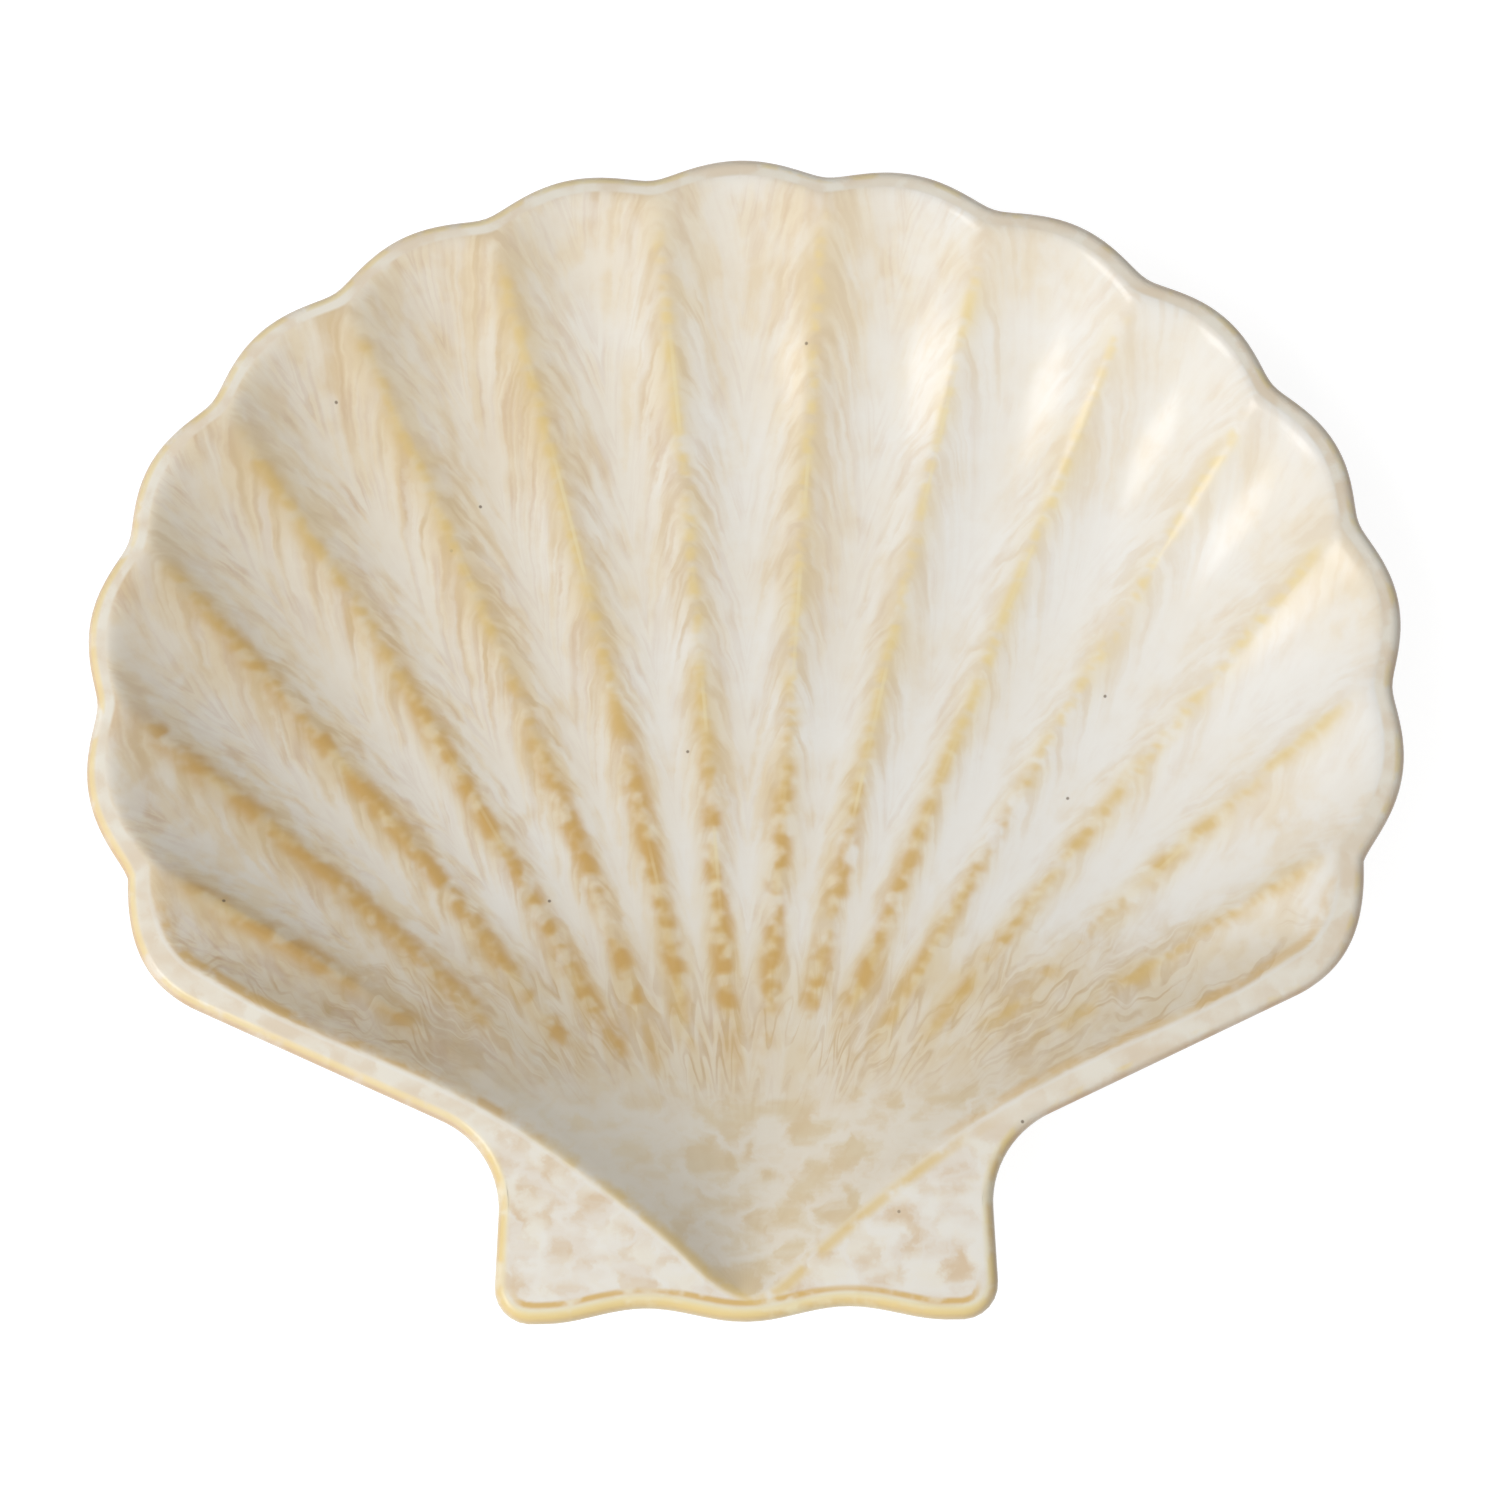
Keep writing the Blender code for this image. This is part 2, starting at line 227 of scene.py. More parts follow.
def rim_plan(u, on_crest):
    """The rim without its lobes, along the outer edge or along the crest, and its outward normal.

    Beyond the last rib one long lobe leaves the notch straight down and meets the corner arc.
    """
    inner = np.minimum(u, LAST_RIB)
    point, normal = fan_point(inner)
    widening = smooth_step(u, LAST_RIB - 1.0, LAST_COLUMN)[..., None]
    inset = LIP_WIDTH + (CORNER_LIP_WIDTH - LIP_WIDTH) * widening if on_crest else 0.0
    point = point - normal * inset
    last, last_normal = fan_point(np.array(LAST_RIB))
    down = np.array([0.0, -1.0])
    facing, corner = corner_direction()
    if on_crest:
        last = last - last_normal * (LIP_WIDTH + CORNER_LIP_WIDTH) / 2
    else:
        corner = np.array(CORNER_ARC_CENTRE) + facing * CORNER_ARC_RADIUS
    reach = np.linalg.norm(last - corner) * 0.36
    back = np.array([-facing[1], facing[0]])
    lobe = bezier(last, last + down * reach, corner + back * reach, corner, np.clip(u - LAST_RIB, 0, 1))
    beyond = (u > LAST_RIB)[..., None]
    return np.where(beyond, lobe, point), normal


def crest_bearing(reach):
    """Bearing of the crest along the hinge and the shoulder, at a distance from the apex."""
    bend = smooth_step(reach, CREST_BEND_START, CREST_BEND_END)
    tip = (pi / 2 - HINGE_BEARING) * np.exp(-((reach / APEX_REACH) ** 1.2))
    return HINGE_BEARING + (CORNER_BEARING - HINGE_BEARING) * bend + tip


# The bowl's surfaces, over a column u and a row v, which is 0 at the apex and 1 at the rim


def rib_gather(v):
    """How far the ribs have drawn together, as a share of their bearings at the rim."""
    return 1.0 - RIB_GATHER * (1.0 - v**2)


def bowl_base(u, v, rounding=0.0):
    """The bowl without its flutes, the rim's outward direction, and distances to the crest."""
    side = np.abs(u)
    end, normal = rim_plan(side, True)
    reach = np.linalg.norm(end, axis=-1)
    end_bearing = np.arctan2(end[..., 0], end[..., 1])
    corner_reach = np.linalg.norm(corner_direction()[1])
    gather = rib_gather(v)
    r = v * reach
    edge = crest_bearing(np.minimum(r, corner_reach))
    beyond = np.clip(side - LAST_RIB, 0.0, 1.0)
    bearing = end_bearing * gather + (edge - CORNER_BEARING * gather) * beyond
    plan = polar(r, bearing)
    facing = np.sum(normal * end, axis=-1) / reach
    to_fan = (1.0 - v) * reach * facing
    to_side = r * np.sin(np.clip(edge - bearing, 0.0, pi / 2))
    to_far_side = r * np.sin(np.clip(edge + bearing, 0.0, pi / 2))
    tiny = 1e-9
    crowding = (to_side + tiny) ** -3 + (to_far_side + tiny) ** -3
    crowding += (to_fan * WALL_REACH / FAN_WALL_REACH + tiny) ** -3
    inward = crowding ** (-1 / 3)
    rounded = np.sqrt(inward**2 + rounding**2) - rounding
    z = -BOWL_DEPTH * (1.0 - np.exp(-rounded / WALL_REACH))
    turn = np.where(u < 0, -1.0, 1.0)
    points = np.stack([plan[..., 0] * turn, plan[..., 1], z], axis=-1)
    outward = np.stack([normal[..., 0] * turn, normal[..., 1], 0 * z], axis=-1)
    return points, outward, to_fan, to_side


def fluted(points, outward, to_fan, to_side, u, v, rounding):
    """Moves the channels between the ribs outwards at the rim and down on the floor, least at the sides."""
    profile = lobe_profile(u, rounding)
    at_rim = np.where(np.abs(u) > LAST_RIB, 0.0, v**4)
    growth = smooth_step(v, FLUTE_START, FLUTE_FULL)
    near_crest = (1 - np.exp(-to_fan / FLUTE_FADE_AT_RIM)) * (1 - np.exp(-to_side / FLUTE_FADE_AT_SIDE))
    moved = points + outward * (LOBE_BULGE * profile * at_rim)[..., None]
    length = np.linalg.norm(rim_plan(np.abs(u), True)[0], axis=-1) / (APEX_TO_FAN_CENTRE + FAN_HALF_DEPTH)
    moved[..., 2] -= FLUTE_DEPTH * length**FLUTE_NARROWING * profile * growth * near_crest
    return moved


def inner_surface(u, v):
    base = bowl_base(u, v, CREST_ROUNDING)
    return fluted(*base, u, v, RIB_ROUNDING)


def under_surface(u, v):
    """The unfluted inner surface moved out by the wall, then fluted, its edge slid under the crest."""
    inset = WALL / 3
    side = np.abs(u)
    reach = np.linalg.norm(rim_plan(side, True)[0], axis=-1)
    last_bearing = np.arctan2(*rim_plan(np.array(LAST_RIB), True)[0]) * rib_gather(v)
    end_lobe = v * reach * (crest_bearing(v * reach) - last_bearing)
    beyond = np.clip(side - LAST_RIB, 0.0, 1.0)
    u = np.sign(u) * (side - beyond * np.minimum(0.5, inset / np.maximum(end_lobe, 1e-6)))
    v = v * (1.0 - 1.6 * inset / reach)
    points, outward, to_fan, to_side = bowl_base(u, v)
    step = 1e-3
    along = bowl_base(u, np.minimum(v + step, 1.0))[0] - bowl_base(u, v - step)[0]
    right, left = np.minimum(u + step, LAST_COLUMN), np.maximum(u - step, -LAST_COLUMN)
    across = bowl_base(right, v)[0] - bowl_base(left, v)[0]
    normal = np.cross(across, along)
    normal /= np.linalg.norm(normal, axis=-1, keepdims=True)
    moved = points - normal * WALL
    return fluted(moved, outward, to_fan, to_side, u, v, UNDER_RIB_ROUNDING)


# Outer edge


def row_shares():
    """The rows from near the apex to the rim, closer together towards the rim."""
    share = np.arange(1, ROWS + 1) / ROWS
    return 1.0 - (1.0 - share) ** ROW_CROWDING * (1.0 - 0.5 / ROWS)


def column_values(steps):
    """Columns from the right end to the left, closer together towards the crest at both ends."""
    u = np.linspace(LAST_COLUMN, -LAST_COLUMN, LOBES * steps + 1)
    beyond = np.clip(np.abs(u) - LAST_RIB, 0.0, 1.0)
    crowded = LAST_RIB + 1.0 - (1.0 - beyond) ** END_CROWDING
    return np.where(beyond > 0, np.sign(u) * crowded, u)


def hinge_outline():
    """Half of the outer edge in plan, from the middle of the hinge out to the corner of the fan."""
    wave_x = np.linspace(0.0, HINGE_WAVE_LENGTH, 60)
    wave = HINGE_WAVE_HEIGHT / 2 * (1 - np.cos(2 * pi * wave_x / HINGE_WAVE_LENGTH))
    bottom = np.stack([wave_x, -HINGE_OVERHANG + wave], axis=-1)
    ear_centre = (EAR_HALF_WIDTH - EAR_CORNER_RADIUS, -HINGE_OVERHANG + EAR_CORNER_RADIUS)
    ear = arc(ear_centre, EAR_CORNER_RADIUS, -pi / 2, 0.0, 40)
    slope = np.arctan(SHOULDER_SLOPE)
    normal = np.array([np.sin(slope), -np.cos(slope)])
    shoulder = np.array(CORNER_ARC_CENTRE) + normal * CORNER_ARC_RADIUS
    centre_x = WAIST_HALF_WIDTH + NECK_ARC_RADIUS
    rise = (centre_x - shoulder[0]) * SHOULDER_SLOPE
    centre_y = shoulder[1] + rise - NECK_ARC_RADIUS / np.cos(slope)
    neck = arc((centre_x, centre_y), NECK_ARC_RADIUS, pi, pi / 2 + slope, 60)
    facing = corner_direction()[0]
    corner = arc(CORNER_ARC_CENTRE, CORNER_ARC_RADIUS, slope - pi / 2, np.arctan2(facing[1], facing[0]), 30)
    return np.concatenate([bottom, ear, neck, corner])


def hinge_edge():
    """The hinge outline at the same shares of its length as the rows are of the crest's."""
    outline = hinge_outline()
    length = np.concatenate([[0.0], np.cumsum(np.linalg.norm(np.diff(outline, axis=0), axis=1))])
    wanted = np.concatenate([[0.0], row_shares()]) * length[-1]
    return np.stack([np.interp(wanted, length, outline[:, k]) for k in (0, 1)], axis=-1)


def outer_edge(columns):
    """The whole outer edge in plan, anticlockwise seen from above, starting at the middle of the hinge."""
    point, normal = rim_plan(np.abs(columns), False)
    in_fan = np.where(np.abs(columns) > LAST_RIB, 0.0, lobe_profile(columns, NOTCH_ROUNDING))
    point = point + normal * (LOBE_BULGE * in_fan)[..., None]
    fan = np.stack([point[:, 0] * np.sign(columns + 1e-12), point[:, 1]], axis=-1)
    right = hinge_edge()[:-1]
    left = right[1:][::-1] * (-1, 1)
    return np.concatenate([right, fan, left])


def inset_edge(edge, distance, z):
    """The outer edge moved in by a distance, at a height below the crest."""
    tangent = np.roll(edge, -1, axis=0) - np.roll(edge, 1, axis=0)
    normal = np.stack([tangent[:, 1], -tangent[:, 0]], axis=-1)
    normal /= np.linalg.norm(normal, axis=1, keepdims=True)
    moved = edge - normal * distance
    return np.column_stack([moved, np.full(len(moved), z)])


# Mesh building

INSIDE, LIP, UNDER = 0, 1, 2


class Skin:
    """Collects vertices, with the column and the side of the dish that each lies on, and faces."""

    def __init__(self):
        self.points, self.columns, self.sides, self.faces = [], [], [], []
        self.count = 0

    def add(self, points, columns, side):
        points = np.asarray(points, float).reshape(-1, 3)
        self.points.append(points)
        self.columns.append(np.broadcast_to(columns, len(points)))
        self.sides.append(np.full(len(points), side))
        self.count += len(points)
        return list(range(self.count - len(points), self.count))

    def bridge(self, a, b, flip=False):
        """Faces from one chain to the next, which has as many steps, several times fewer, or none."""
        ratio = (len(a) - 1) // max(1, len(b) - 1)
        if len(b) == 1:
            faces = [(a[i], a[i + 1], b[0]) for i in range(len(a) - 1)]
        elif ratio == 1:
            faces = list(zip(a, a[1:], b[1:], b))
        else:
            faces = []
            for i in range(len(b) - 1):
                part = a[i * ratio : (i + 1) * ratio + 1]
                half = (ratio + 1) // 2
                faces += [(part[j], part[j + 1], b[i]) for j in range(half)]
                faces += [(part[half], b[i + 1], b[i])]
                faces += [(part[j], part[j + 1], b[i + 1]) for j in range(half, ratio)]
        self.faces += [face[::-1] if flip else face for face in faces]


def patch_rows(skin, surface, apex, shares, columns, side):
    """Rows of a bowl surface from the apex to the rim, with fewer columns towards the apex."""
    rows = [skin.add([apex], 0.0, side)]
    for v in shares:
        halvings = int(v < HALVED_BELOW) + int(v < QUARTERED_BELOW)
        u = columns[:: 2**halvings]
        rows.append(skin.add(surface(u, np.full(len(u), v)), u, side))
    for low, high in zip(rows, rows[1:]):
        skin.bridge(high, low, flip=side == UNDER)
    return rows


def patch_edge(rows):
    """The boundary of a patch, from the apex up the right side, along the rim and back down to the apex."""
    right = [row[0] for row in rows[:-1]]
    left = [row[-1] for row in rows[1:-1]][::-1]
    return right + rows[-1] + left + [rows[0][0]]


def build_lip(skin, crest, edge, columns):
    """The lip and the ears: a flat top from the crest outwards, then a rounded edge to the underside."""
    start = np.concatenate(skin.points)[crest[:-1]]
    first = inset_edge(edge, EDGE_ROUNDING, 0.0)
    column = np.concatenate([np.full(ROWS, LAST_COLUMN), columns, np.full(ROWS - 1, -LAST_COLUMN)])
    rings = [start + (first - start) * share for share in np.linspace(0.0, 1.0, LIP_TOP_ROWS + 1)[1:]]
    for turn in np.linspace(pi / 2, 0.0, LIP_RINGS)[1:]:
        rings.append(inset_edge(edge, EDGE_ROUNDING * (1 - cos(turn)), -WALL / 2 * (1 - sin(turn))))
    for turn in np.linspace(0.0, pi / 2, LIP_RINGS)[1:]:
        rings.append(inset_edge(edge, UNDER_EDGE_ROUNDING * (1 - cos(turn)), -WALL / 2 * (1 + sin(turn))))
    chain = crest
    for points in rings:
        ring = skin.add(points, column, LIP)
        skin.bridge(chain, ring + ring[:1], flip=True)
        chain = ring + ring[:1]
    return chain


def distance_to(points, chain):
    """Distance in plan from each point to a closed chain of points."""
    start, step = chain[:, :2], np.roll(chain[:, :2], -1, axis=0) - chain[:, :2]
    squared = np.maximum((step**2).sum(axis=1), 1e-18)
    nearest = []
    for block in np.array_split(points[:, :2], 40):
        offset = block[:, None] - start[None]
        share = np.clip((offset * step).sum(axis=2) / squared, 0.0, 1.0)
        nearest.append(np.linalg.norm(offset - share[..., None] * step, axis=2).min(axis=1))
    return np.concatenate(nearest)


def build_skin():
    """The glazed skin without the foot, in the frame of the apex, and the numbers that the glaze reads."""
    skin = Skin()
    columns, shares = column_values(STEPS_PER_LOBE), row_shares()
    inner = patch_rows(skin, inner_surface, (0.0, 0.0, 0.0), shares, columns, INSIDE)
    edge = outer_edge(columns)
    crest = patch_edge(inner)
    rim = build_lip(skin, crest, edge, columns)
    apex = (0.0, -WALL / 3, -WALL)
    under = patch_rows(skin, under_surface, apex, shares[1::2], columns[::2], UNDER)
    skin.bridge(rim, patch_edge(under), flip=True)
    points, side = np.concatenate(skin.points) + (0, 0, RIM_HEIGHT), np.concatenate(skin.sides)
    inward = distance_to(points, points[crest[:-1]]) * np.where(side == INSIDE, 1.0, -1.0)
    fields = {
        "column": np.concatenate(skin.columns),
        "inward": inward * 1000,
        "lip": np.where(side == LIP, distance_to(points, edge), 0.1) * 1000,
        "under": np.where(side == UNDER, 1.0, 0.0),
    }
    return points, skin.faces, fields


def build_foot(dish_points, dish_faces):
    """An oval ring with rounded corners that runs up into the wall of the dish."""
    tree = BVHTree.FromPolygons([tuple(p) for p in dish_points], dish_faces)
    half = FOOT_RING_WIDTH / 2
    corner = np.linspace(0.0, pi / 2, 5)
    inner = [(FOOT_CHAMFER * (1 - cos(t)) - half, FOOT_CHAMFER * (1 - sin(t))) for t in corner]
    section = [(half, None), (-half, None)] + inner + [(-offset, z) for offset, z in inner[::-1]]
    points, faces = [], []
    for turn in np.linspace(0, 2 * pi, FOOT_STEPS, endpoint=False):
        for offset, z in section:
            x = (FOOT_HALF_WIDTH + offset) * cos(turn)
            y = FOOT_CENTRE_FROM_APEX + (FOOT_HALF_DEPTH + offset) * sin(turn)
            if z is None:
                z = tree.ray_cast((x, y, -RIM_HEIGHT), (0, 0, 1))[0].z + WALL / 2
            points.append((x, y, z))
    size = len(section)
    for i in range(FOOT_STEPS):
        a, b = i * size, (i + 1) % FOOT_STEPS * size
        for j in range(size):
            k = (j + 1) % size
            faces.append((a + j, a + k, b + k, b + j))
    return np.array(points), faces


def add_object(name, points, faces, materials, fields=None):
    mesh = bpy.data.meshes.new(name)
    mesh.from_pydata([tuple(map(float, p)) for p in points], [], faces)
    for key, values in (fields or {}).items():
        mesh.attributes.new(key, "FLOAT", "POINT").data.foreach_set("value", values.astype(np.float32))
    for material in materials:
        mesh.materials.append(material)
    mesh.shade_smooth()
    obj = bpy.data.objects.new(name, mesh)
    bpy.context.scene.collection.objects.link(obj)
    return obj


def number_foot(mesh):
    """The foot and its seam get no numbers from the dish, so they take those of the underside here."""
    values = {key: np.zeros(len(mesh.vertices), np.float32) for key in ("inward", "lip", "under")}
    for key, array in values.items():
        mesh.attributes[key].data.foreach_get("value", array)
    heights = np.array([vertex.co.z for vertex in mesh.vertices])
    beneath = (heights < RIM_HEIGHT / 2) & (values["inward"] <= 0)
    for key, value in (("inward", -50.0), ("lip", 100.0), ("under", 1.0)):
        values[key][beneath] = value
        mesh.attributes[key].data.foreach_set("value", values[key])


def build_platter(glaze, clay):
    """One closed body: the glazed dish with its foot ring joined on, bare clay where it stands."""
    points, faces, fields = build_skin()
    foot_points, foot_faces = build_foot(points, faces)
    dish = add_object("glazed_body", points - (0, MIDDLE, 0), faces, [glaze, clay], fields)
    foot = add_object("foot_tool", foot_points - (0, MIDDLE, 0), foot_faces, [glaze, clay])
    for polygon in foot.data.polygons:
        standing = all(foot.data.vertices[i].co.z < FOOT_CHAMFER * 0.9 for i in polygon.vertices)
        polygon.material_index = int(standing)
    union = dish.modifiers.new("foot", "BOOLEAN")
    union.operation = "UNION"
    union.solver = "EXACT"
    union.object = foot
    graph = bpy.context.evaluated_depsgraph_get()
    joined = bpy.data.meshes.new_from_object(dish.evaluated_get(graph), depsgraph=graph)
    dish.modifiers.clear()
    dish.data = joined
    bpy.data.objects.remove(foot)
    joined.set_sharp_from_angle(angle=radians(50))
    number_foot(joined)
    return dish


# Painting with nodes


class Field:
    """A number at every point of a surface: a node socket that takes arithmetic."""

    def __init__(self, paint, socket):
        self.paint, self.socket = paint, socket

    def __add__(self, other):
        return self.paint.math("ADD", self, other)

    def __sub__(self, other):
        return self.paint.math("SUBTRACT", self, other)

    def __rsub__(self, other):
        return self.paint.math("SUBTRACT", other, self)

    def __mul__(self, other):
        return self.paint.math("MULTIPLY", self, other)

    def __truediv__(self, other):
        return self.paint.math("DIVIDE", self, other)

    def __pow__(self, other):
        return self.paint.math("POWER", self, other)

    def __abs__(self):
        return self.paint.math("ABSOLUTE", self)

    __radd__ = __add__
    __rmul__ = __mul__


class Paint:
    """The nodes of one material."""

    def __init__(self, name):
        self.material = bpy.data.materials.new(name)
        self.material.use_nodes = True
        self.tree = self.material.node_tree
        self.shader = self.tree.nodes["Principled BSDF"]

    def node(self, kind, inputs=None, **settings):
        node = self.tree.nodes.new(kind)
        for key, value in settings.items():
            setattr(node, key, value)
        for key, value in (inputs or {}).items():
            self.put(node.inputs[key], value)
        return node

    def put(self, socket, value):
        value = value.socket if isinstance(value, Field) else value
        if isinstance(value, bpy.types.NodeSocket):
            self.tree.links.new(value, socket)
        else:
            socket.default_value = value

    def math(self, operation, *values):
        node = self.node("ShaderNodeMath", dict(enumerate(values)), operation=operation)
        return Field(self, node.outputs[0])

    def attribute(self, name):
        return Field(self, self.node("ShaderNodeAttribute", attribute_name=name).outputs["Fac"])

    def place(self):
        """The point of the surface in millimetres from the apex of the hinge."""
        coordinates = self.node("ShaderNodeTexCoord").outputs["Object"]
        axes = self.node("ShaderNodeSeparateXYZ", {0: coordinates}).outputs
        x, y, z = (Field(self, socket) * 1000 for socket in axes)
        return x, y + MIDDLE * 1000, z

    def vector(self, x, y, z=0.0):
        return self.node("ShaderNodeCombineXYZ", {0: x, 1: y, 2: z}).outputs[0]

    def noise(self, x, y, z=0.0, detail=2.0, roughness=0.5):
        """Smooth noise from 0 to 1, about 0.5, over features one unit across."""
        inputs = {"Vector": self.vector(x, y, z), "Scale": 1.0, "Detail": detail, "Roughness": roughness}
        return Field(self, self.node("ShaderNodeTexNoise", inputs).outputs[0])

    def random(self, x, y):
        """Three numbers from 0 to 1 that differ from one whole pair x, y to the next."""
        colour = self.node("ShaderNodeTexWhiteNoise", {"Vector": self.vector(x, y)}).outputs["Color"]
        return [Field(self, socket) for socket in self.node("ShaderNodeSeparateColor", {0: colour}).outputs]

    def ramp(self, value, start, end, low=0.0, high=1.0):
        """Low up to start, high from end on, and smooth between them. Start may be above end."""
        if start > end:
            start, end, low, high = end, start, high, low
        inputs = {0: value, 1: start, 2: end, 3: low, 4: high}
        node = self.node("ShaderNodeMapRange", inputs, interpolation_type="SMOOTHSTEP")
        return Field(self, node.outputs[0])

    def mix(self, share, a, b):
        node = self.node("ShaderNodeMix", data_type="RGBA", clamp_factor=True)
        self.put(node.inputs[0], share)
        self.put(node.inputs[6], a)
        self.put(node.inputs[7], b)
        return node.outputs[2]


def srgb(red, green, blue):
    """A colour given by its 0 to 255 display levels."""
    levels = np.array([red, green, blue]) / 255
    linear = np.where(levels <= 0.04045, levels / 12.92, ((levels + 0.055) / 1.055) ** 2.4)
    return (*map(float, linear), 1.0)


# The colours of the glaze
WHITE = srgb(245, 242, 235)
CREAM = srgb(244, 234, 210)
ROSE = srgb(234, 211, 178)
OAT = srgb(219, 199, 158)
TAN = srgb(223, 199, 151)
PEACH = srgb(225, 198, 161)
PINK = srgb(204, 167, 135)
BARK = srgb(207, 176, 129)
OCHRE = srgb(213, 168, 90)
AMBER = srgb(222, 180, 96)
YELLOW = srgb(241, 217, 144)
STRAW = srgb(243, 229, 186)
UMBER_AND_EDGE_SHADE = srgb(210, 168, 114)
CLAY = srgb(196, 176, 150)
PALE_CLAY = srgb(208, 190, 164)
GRIT = srgb(196, 150, 112)
SPECK = srgb(100, 76, 48)


def surface_fields(paint):
    """The numbers that say where a point of the glaze is, in millimetres and in shares of a channel."""
    at = SimpleNamespace()
    names = ("column", "inward", "lip", "under")
    at.column, at.inward, at.lip, at.under = (paint.attribute(name) for name in names)
    at.x, at.y, at.z = x, y, z = paint.place()
    at.reach = paint.math("SQRT", x * x + y * y)
    # 1 at the left and 0 at the right. The glaze is made warmer and richer towards the left: partly its own
    # tone, partly painted shade of the left walls, which face away from the key lamp, and painted sheen of
    # the paler right walls
    at.left = paint.ramp(x, 120.0, -140.0)
    at.rib = paint.math("FLOOR", at.column)
    phase = at.column - at.rib - 0.5
    at.pitch = at.reach * (RIB_SPREAD * 0.94)
    at.across = phase * at.pitch
    at.wide = at.column * at.pitch
    at.share = abs(phase) * 2.0
    at.cloud = paint.noise(x * 0.025, y * 0.025, 7.0, detail=2.0)
    at.patch = paint.noise(x * 0.11, y * 0.11, 2.0, detail=4.0, roughness=0.6)
    at.mottle = paint.noise(x * 0.30, y * 0.30, 6.0, detail=4.0, roughness=0.65)
    at.region = paint.noise(x * 0.05, y * 0.05, 17.0, detail=2.0)
    at.blob = paint.noise(x * 0.11 + at.patch * 2.0, y * 0.11, 21.0, detail=1.5)
    at.vein = abs(paint.noise(x * 0.07 + at.patch, y * 0.07, 33.0, detail=4.0) - 0.5)
    at.sway = (paint.noise(x * 0.03, y * 0.03) - 0.5) * 14
    at.shiver = (paint.noise(x * 0.14, y * 0.14, 4.0) - 0.5) * 5
    return at


def barb_fields(paint, at):
    """Barbs leave a rib level, droop, and run down the channel towards the hinge."""
    droop = (at.share**1.6 + at.share**5 * 0.2) * at.pitch * 1.25
    barb = at.reach + droop + at.sway + at.shiver * 1.5
    torn = barb + (at.mottle - 0.5) * 5.0 + (at.patch - 0.5) * 14.0
    at.ladder = paint.noise(barb * 0.17, at.wide * 0.08, 9.0, detail=2.0)
    loose = paint.ramp(at.share, 0.35, 0.95) * (0.8 - at.left * 0.4)
    loose = paint.math("MINIMUM", loose + paint.ramp(at.inward, 34.0, 10.0) * 0.4, 1.0)
    smudge = paint.noise(torn * 0.08, at.wide * 0.12, 3.7, detail=2.0)
    at.smudge = smudge + loose * (paint.noise(at.x * 0.10, at.y * 0.08, 51.0, detail=3.0) - smudge)
    drift = paint.noise(torn * 0.075, at.wide * 0.12, 40.0, detail=2.5)
    at.drift = drift + loose * (paint.noise(at.x * 0.13, at.y * 0.09, 61.0, detail=4.0) - drift)
    at.barred = 1.0 - loose
    at.hair = paint.noise((barb + torn) * 0.065, at.wide * 0.12, 3.0, detail=3.0)


def amber_fields(paint, at):
    """Amber along each rib: a broken line that thickens into blots on the floor of the bowl, and a painted
    highlight along the crests of the middle ribs.
    """
    at.inner = paint.ramp(at.y, 200.0, 110.0)
    at.depth = paint.ramp(at.inner * 0.5 + at.left * 0.5, 0.1, 0.75)
    blotch = at.mottle - 0.5
    shade = paint.ramp(at.across, -3.0, 3.0) * at.left
    slow = paint.noise(at.reach * 0.06, at.across * 0.08, at.rib * 7.7, detail=2.0)
    blot = paint.noise(at.reach * 0.18, at.across * 0.15, at.rib * 3.1 + 5.0, detail=1.5)
    dash = paint.noise(at.reach * 0.30, at.across * 0.16, at.rib * 4.3 + 2.0, detail=1.0)
    along = paint.noise(at.reach * 0.03, at.rib * 5.9, 8.0, detail=2.0)
    strength = paint.random(at.rib, 3.5)[0] * 0.06 + at.depth * 0.03
    amount = slow * 0.25 + (dash + at.depth * (blot - dash)) * 0.75 + strength + blotch * 0.03
    zone = paint.ramp(at.y + (slow - 0.5) * 60.0, 62.0, 86.0) * paint.ramp(at.inward, 2.0, 14.0)
    width = 0.8 + at.depth * 1.5 + (slow - 0.5) * 2.0
    off = abs(at.across + blotch * 0.6 + (along - 0.5) * 3.0)
    at.bead = paint.ramp(off - width, 2.8, -1.8) * paint.ramp(amount, 0.44, 0.66) * zone
    at.halo = paint.ramp(off - width, 6.0, -2.0) * paint.ramp(slow + strength, 0.38, 0.62) * zone
    # painted light: the tan halo is cut back on the shaded flank of the left ribs
    at.halo = at.halo * (1.0 - shade * 0.5)
    at.line = paint.ramp(off, 2.2, 0.3) * paint.ramp(amount + along * 0.5, 0.66, 0.86) * zone
    at.stripe = paint.ramp(off + blotch * 7.0, 7.5, 0.5) * paint.ramp(along, 0.34, 0.58) * zone
    # painted highlight: a pale straw line along the crests of the middle ribs
    central = paint.ramp(abs(at.x - 30.0), 115.0, 80.0) * paint.ramp(at.y, 95.0, 130.0)
    crest = paint.ramp(abs(at.across - 0.2), 0.7, 0.2) * paint.ramp(along, 0.50, 0.60)
    at.ridge = crest * central * paint.ramp(at.inward, 25.0, 45.0)


